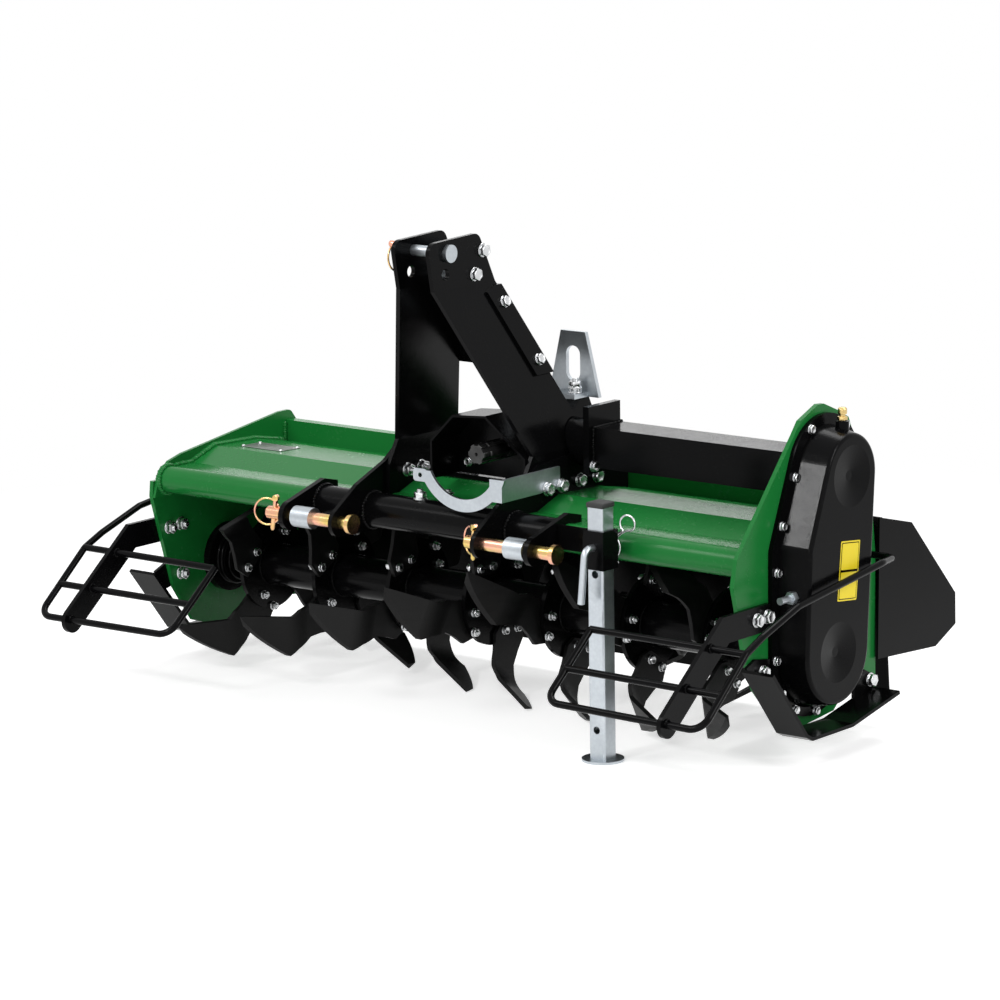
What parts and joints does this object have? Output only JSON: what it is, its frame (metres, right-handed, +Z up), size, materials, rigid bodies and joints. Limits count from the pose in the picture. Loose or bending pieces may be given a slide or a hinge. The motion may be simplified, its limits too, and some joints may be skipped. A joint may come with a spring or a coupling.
{
  "type": "rotary_tiller",
  "caption": "Compact rear-mounted rotary tiller with chain drive, A-frame hitch mast, parking jack, side guards and a hinged tailgate",
  "frame": {"origin": "on the ground, at the middle of the machine's footprint", "axes": "+Z up; +X along the machine's width, towards the chain case on its left-hand side in travel; -Y towards the tractor, +Y to the rear"},
  "size_m": [1.444, 0.836, 0.8256],
  "materials": {
    "green_paint": "gloss",
    "black_paint": "gloss",
    "tine_paint": "satin",
    "zinc": "satin",
    "yellow_zinc": "satin",
    "bare_steel": "satin"
  },
  "bodies": {
    "frame": {"side_plate_left": "green_paint", "side_plate_right": "green_paint", "front_pipe": "green_paint", "hood_sheet": "green_paint", "rear_channel": "green_paint", "hinge_rod": "zinc", "drive_tube": "black_paint", "gearbox_base": "black_paint", "gearbox": "black_paint", "pto_guard": "black_paint", "chain_case": "black_paint", "chain_tensioner": "zinc", "bearing_left": "black_paint", "bearing_right": "black_paint", "hitch_tube": "black_paint", "ear_inner_left": "black_paint", "ear_inner_right": "black_paint", "ear_outer_left": "black_paint", "ear_outer_right": "black_paint", "mast_left": "black_paint", "mast_right": "black_paint", "mast_brace": "black_paint", "mast_spacers": "zinc", "top_pin": "zinc", "lower_pin_left": "yellow_zinc", "lower_pin_right": "yellow_zinc", "bushing_left": "zinc", "bushing_right": "zinc", "jack_collar": "black_paint", "jack_pin": "zinc", "shaft_holder": "zinc", "slotted_bracket": "zinc", "skid_left": "black_paint", "skid_right": "black_paint", "guard_left": "black_paint", "guard_right": "black_paint"},
    "rotor": {"rotor_tube": "black_paint", "rotor_flanges": "black_paint", "tines_right_hand": "tine_paint", "tines_left_hand": "tine_paint"},
    "pto": {"pto_shaft": "bare_steel"},
    "jack": {"jack_leg": "zinc"},
    "tailgate": {"tail_board": "black_paint", "tail_cheek_left": "black_paint", "tail_cheek_right": "black_paint"}
  },
  "joints": [
    {"name": "rotor_spin", "type": "hinge", "parent": "frame", "child": "rotor", "pos_m": [0, -0.006, 0.18], "axis": [1, 0, 0], "continuous": true},
    {"name": "pto_spin", "type": "hinge", "parent": "frame", "child": "pto", "pos_m": [0.078, -0.163, 0.464], "axis": [0, 1, 0], "continuous": true},
    {"name": "jack_slide", "type": "slide", "parent": "frame", "child": "jack", "axis": [0, 0, 1], "range_m": [0, 0.302]},
    {"name": "tailgate_hinge", "type": "hinge", "parent": "frame", "child": "tailgate", "pos_m": [0, 0.198, 0.378], "axis": [1, 0, 0], "range_deg": [0, 55]}
  ],
  "couplings": [
    {"joint": "pto_spin", "follows": "rotor_spin", "ratio": 2.5}
  ]
}
